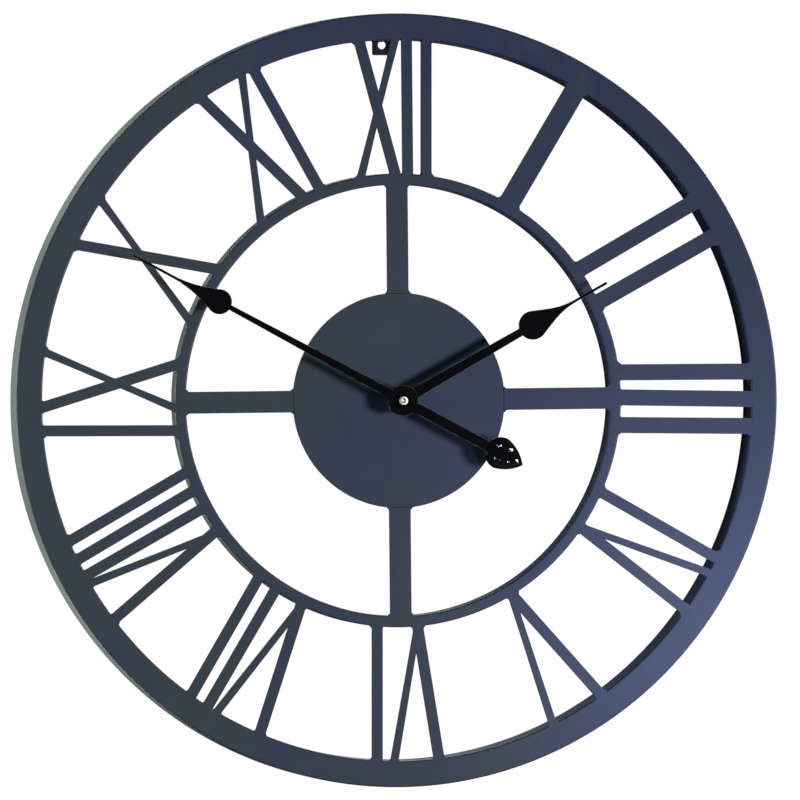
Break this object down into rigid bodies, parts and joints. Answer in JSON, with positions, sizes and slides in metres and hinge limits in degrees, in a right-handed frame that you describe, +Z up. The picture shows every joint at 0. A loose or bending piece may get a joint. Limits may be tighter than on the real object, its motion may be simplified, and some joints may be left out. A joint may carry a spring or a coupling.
{
  "type": "wall clock",
  "caption": "Large round skeleton wall clock: open Roman numerals between a channel rim and an inner ring, spade hands and a battery movement behind the dial plate.",
  "frame": {"origin": "on the hands' axis, in the plane of the wall that the rim rests against", "axes": "+Z up to twelve o'clock, +Y into the wall, +X towards three o'clock seen from the front"},
  "size_m": [0.6, 0.0508, 0.6],
  "materials": {
    "powder_coat": "satin slate-black powder coat",
    "hand_paint": "matt black paint",
    "counterweight_enamel": "gloss black enamel",
    "brass": "turned brass",
    "steel": "bright steel",
    "case_plastic": "fine textured black moulding",
    "wheel_plastic": "white moulding",
    "gasket_rubber": "matt black rubber",
    "battery_wrap": "printed foil sleeve",
    "copper_wire": "enamelled copper wire",
    "board_laminate": "green laminate",
    "chip_resin": "black resin",
    "magnet": "bare magnet"
  },
  "bodies": {
    "clock_frame": {"rim": "powder_coat", "inner_ring": "powder_coat", "numeral_1": "powder_coat", "numeral_2": "powder_coat", "numeral_3": "powder_coat", "numeral_4": "powder_coat", "numeral_5": "powder_coat", "numeral_6": "powder_coat", "numeral_7": "powder_coat", "numeral_8": "powder_coat", "numeral_9": "powder_coat", "numeral_10": "powder_coat", "numeral_11": "powder_coat", "numeral_12": "powder_coat", "spoke_top": "powder_coat", "spoke_right": "powder_coat", "spoke_bottom": "powder_coat", "spoke_left": "powder_coat", "dial_plate": "powder_coat", "hanger_tab": "powder_coat", "threaded_bush": "brass", "rubber_gasket": "gasket_rubber", "fixing_washer": "steel", "fixing_nut": "brass", "movement_case": "case_plastic", "middle_plate": "wheel_plastic", "movement_cover": "case_plastic", "battery": "battery_wrap", "battery_contact_positive": "steel", "battery_contact_negative": "steel", "motor_stator": "steel", "coil_core": "steel", "motor_coil": "copper_wire", "circuit_board": "board_laminate", "driver_chip": "chip_resin", "quartz_crystal": "steel"},
    "minute_hand_assembly": {"minute_hand": "hand_paint", "counterweight": "counterweight_enamel", "minute_hand_bush": "brass", "hand_nut": "brass", "minute_shaft": "steel"},
    "hour_hand_assembly": {"hour_hand": "hand_paint", "hour_hand_bush": "brass", "hour_wheel": "wheel_plastic"},
    "setting_wheel": {"minute_wheel": "wheel_plastic", "setting_knob": "case_plastic"},
    "rotor_arbor": {"rotor": "magnet"},
    "intermediate_arbor": {"intermediate_wheel": "wheel_plastic"},
    "seconds_arbor": {"seconds_wheel": "wheel_plastic"},
    "third_arbor": {"third_wheel": "wheel_plastic"},
    "centre_wheel_arbor": {"centre_wheel": "wheel_plastic"}
  },
  "joints": [
    {"name": "minute_hand_turn", "type": "hinge", "parent": "clock_frame", "child": "minute_hand_assembly", "pos_m": [0, -0.0465, 0], "axis": [0, 1, 0], "continuous": true},
    {"name": "hour_hand_turn", "type": "hinge", "parent": "clock_frame", "child": "hour_hand_assembly", "pos_m": [0, -0.0425, 0], "axis": [0, 1, 0], "continuous": true},
    {"name": "setting_knob_turn", "type": "hinge", "parent": "clock_frame", "child": "setting_wheel", "pos_m": [0.009, -0.012, 0], "axis": [0, 1, 0], "continuous": true},
    {"name": "seconds_wheel_turn", "type": "hinge", "parent": "clock_frame", "child": "seconds_arbor", "pos_m": [0, -0.0175, 0], "axis": [0, 1, 0], "continuous": true},
    {"name": "intermediate_wheel_turn", "type": "hinge", "parent": "clock_frame", "child": "intermediate_arbor", "pos_m": [0, -0.0165, 0.0074], "axis": [0, 1, 0], "continuous": true},
    {"name": "rotor_turn", "type": "hinge", "parent": "clock_frame", "child": "rotor_arbor", "pos_m": [0, -0.019, 0.0122], "axis": [0, 1, 0], "continuous": true},
    {"name": "third_wheel_turn", "type": "hinge", "parent": "clock_frame", "child": "third_arbor", "pos_m": [-0.0072, -0.019, 0], "axis": [0, 1, 0], "continuous": true},
    {"name": "centre_wheel_turn", "type": "hinge", "parent": "clock_frame", "child": "centre_wheel_arbor", "pos_m": [0, -0.0208, 0], "axis": [0, 1, 0], "continuous": true}
  ],
  "couplings": [
    {"joint": "hour_hand_turn", "follows": "minute_hand_turn", "ratio": 0.083333},
    {"joint": "setting_knob_turn", "follows": "minute_hand_turn", "ratio": -0.33333},
    {"joint": "intermediate_wheel_turn", "follows": "seconds_wheel_turn", "ratio": -6},
    {"joint": "rotor_turn", "follows": "seconds_wheel_turn", "ratio": 30},
    {"joint": "third_wheel_turn", "follows": "seconds_wheel_turn", "ratio": -0.13333},
    {"joint": "centre_wheel_turn", "follows": "seconds_wheel_turn", "ratio": 0.016667}
  ]
}
